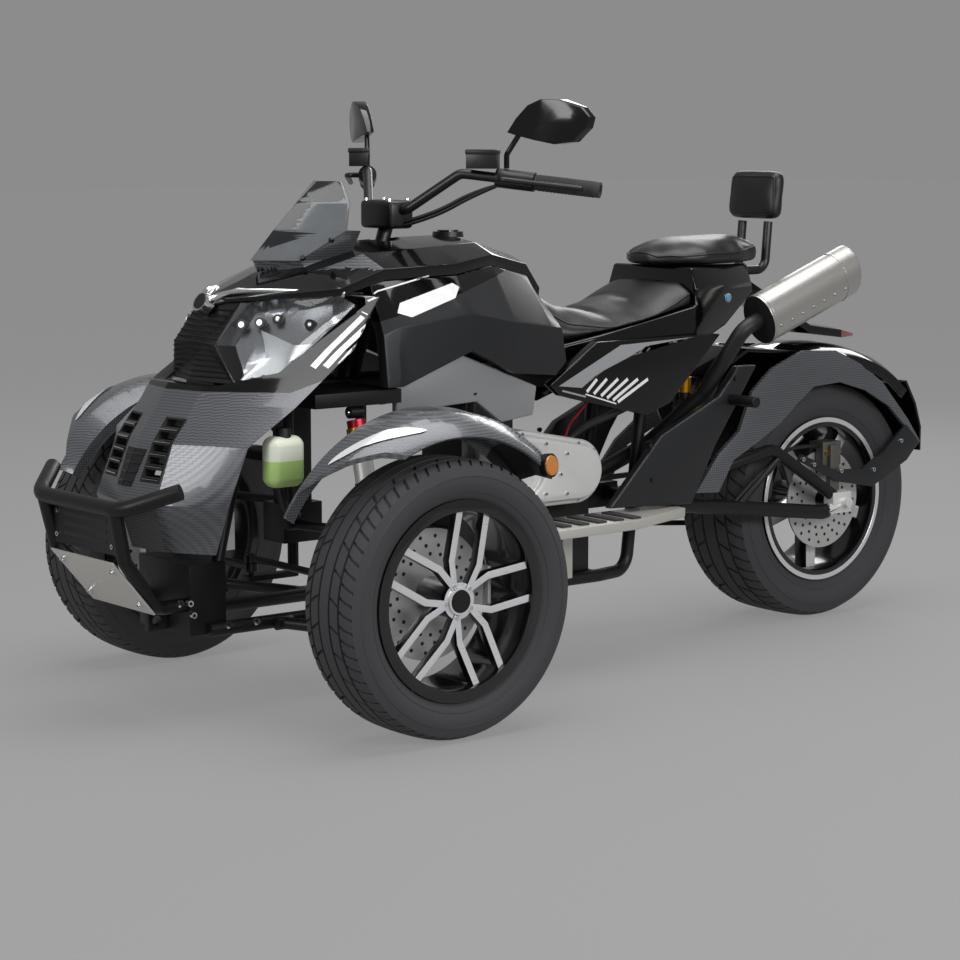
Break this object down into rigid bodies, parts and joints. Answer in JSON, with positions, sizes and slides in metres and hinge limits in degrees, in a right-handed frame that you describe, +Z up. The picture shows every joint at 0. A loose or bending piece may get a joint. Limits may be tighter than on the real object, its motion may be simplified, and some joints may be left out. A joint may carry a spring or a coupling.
{
  "type": "motor trike",
  "caption": "Reverse motor trike with two steered front wheels, a driven rear wheel, saddle seats with backrest, handlebar, screen and side-mounted silencer.",
  "frame": {"origin": "on the ground, at the middle of the overall length and width", "axes": "+X towards the front, +Y to the rider's left, +Z up"},
  "size_m": [2.42, 1.225, 1.293],
  "materials": {
    "tyre_rubber": "matt",
    "rim_black": "gloss black with bright faces",
    "disc_steel": "ground",
    "chain_steel": "oiled",
    "frame_black": "satin",
    "upright_grey": "cast",
    "shock_black": "gloss",
    "engine_dark": "painted",
    "engine_silver": "satin",
    "exhaust_black": "heat-proof black",
    "muffler_steel": "brushed",
    "carbon_grey": "woven pattern under lacquer",
    "gloss_black": "gloss",
    "charcoal": "satin",
    "light_grey": "satin",
    "silver_plate": "satin",
    "lamp_clear": "clear",
    "grille_black": "mesh",
    "screen_smoke": "smoked",
    "seat_leather": "grained",
    "bottle": "translucent",
    "bar_black": "satin",
    "grip_rubber": "ribbed"
  },
  "bodies": {
    "chassis": {"backrest_pad": "seat_leather", "backrest_rail": "frame_black", "bull_bar": "frame_black", "coolant_bottle": "bottle", "drive_chain": "chain_steel", "engine_block": "engine_dark", "engine_cover": "engine_silver", "exhaust_pipe": "exhaust_black", "footboards": "silver_plate", "frame": "frame_black", "front_grille": "grille_black", "front_shocks": "shock_black", "headlamps": "lamp_clear", "lower_arms": "frame_black", "muffler": "muffler_steel", "nose_cowl": "carbon_grey", "passenger_pegs": "frame_black", "rear_caliper": "upright_grey", "rear_fender": "carbon_grey", "rear_shock": "shock_black", "seat_passenger": "seat_leather", "seat_rider": "seat_leather", "seat_side_panels": "gloss_black", "side_fairings": "charcoal", "side_skirts": "light_grey", "skid_plate": "silver_plate", "swingarm": "frame_black", "swingarm_covers": "charcoal", "tail_fairing": "gloss_black", "tail_lamp": "gloss_black", "tank_cover": "gloss_black", "upper_arms": "frame_black", "upper_cowl": "gloss_black", "windscreen": "screen_smoke"},
    "handlebar": {"handlebar": "bar_black", "grips": "grip_rubber", "controls": "bar_black", "mirrors": "gloss_black"},
    "drop_arm": {"drop_arm": "frame_black"},
    "tie_rod_left": {"tie_rod_left": "frame_black"},
    "tie_rod_right": {"tie_rod_right": "frame_black"},
    "knuckle_left": {"knuckle_left": "upright_grey", "front_fender_left": "carbon_grey"},
    "knuckle_right": {"knuckle_right": "upright_grey", "front_fender_right": "carbon_grey"},
    "front_wheel_left": {"front_tyre_left": "tyre_rubber", "front_rim_left": "rim_black", "front_disc_left": "disc_steel"},
    "front_wheel_right": {"front_tyre_right": "tyre_rubber", "front_rim_right": "rim_black", "front_disc_right": "disc_steel"},
    "rear_wheel": {"rear_tyre": "tyre_rubber", "rear_rim": "rim_black", "rear_disc": "disc_steel", "rear_sprocket": "disc_steel"}
  },
  "joints": [
    {"name": "steering", "type": "hinge", "parent": "chassis", "child": "handlebar", "pos_m": [0.4, 0, 1.03], "axis": [-0.3214, 0, 0.9469], "range_deg": [-35, 35]},
    {"name": "kingpin_left", "type": "hinge", "parent": "chassis", "child": "knuckle_left", "pos_m": [0.662, 0.43, 0.288], "axis": [0, 0, 1], "range_deg": [-28.1, 28.1]},
    {"name": "tie_rod_left_pivot", "type": "hinge", "parent": "knuckle_left", "child": "tie_rod_left", "pos_m": [0.772, 0.43, 0.3], "axis": [0, 0, 1], "range_deg": [-28.1, 28.1]},
    {"name": "front_wheel_left_spin", "type": "hinge", "parent": "knuckle_left", "child": "front_wheel_left", "pos_m": [0.662, 0.525, 0.288], "axis": [0, 1, 0], "continuous": true},
    {"name": "kingpin_right", "type": "hinge", "parent": "chassis", "child": "knuckle_right", "pos_m": [0.662, -0.43, 0.288], "axis": [0, 0, 1], "range_deg": [-28.1, 28.1]},
    {"name": "tie_rod_right_pivot", "type": "hinge", "parent": "knuckle_right", "child": "tie_rod_right", "pos_m": [0.772, -0.43, 0.3], "axis": [0, 0, 1], "range_deg": [-28.1, 28.1]},
    {"name": "front_wheel_right_spin", "type": "hinge", "parent": "knuckle_right", "child": "front_wheel_right", "pos_m": [0.662, -0.525, 0.288], "axis": [0, 1, 0], "continuous": true},
    {"name": "drop_arm_pivot", "type": "hinge", "parent": "chassis", "child": "drop_arm", "pos_m": [0.662, 0, 0.34], "axis": [0, 0, 1], "range_deg": [-28.1, 28.1]},
    {"name": "rear_wheel_spin", "type": "hinge", "parent": "chassis", "child": "rear_wheel", "pos_m": [-0.886, 0, 0.303], "axis": [0, 1, 0], "continuous": true}
  ],
  "couplings": [
    {"joint": "kingpin_left", "follows": "steering", "ratio": 0.8},
    {"joint": "kingpin_right", "follows": "steering", "ratio": 0.8},
    {"joint": "drop_arm_pivot", "follows": "steering", "ratio": 0.8},
    {"joint": "tie_rod_left_pivot", "follows": "steering", "ratio": -0.8},
    {"joint": "tie_rod_right_pivot", "follows": "steering", "ratio": -0.8}
  ]
}
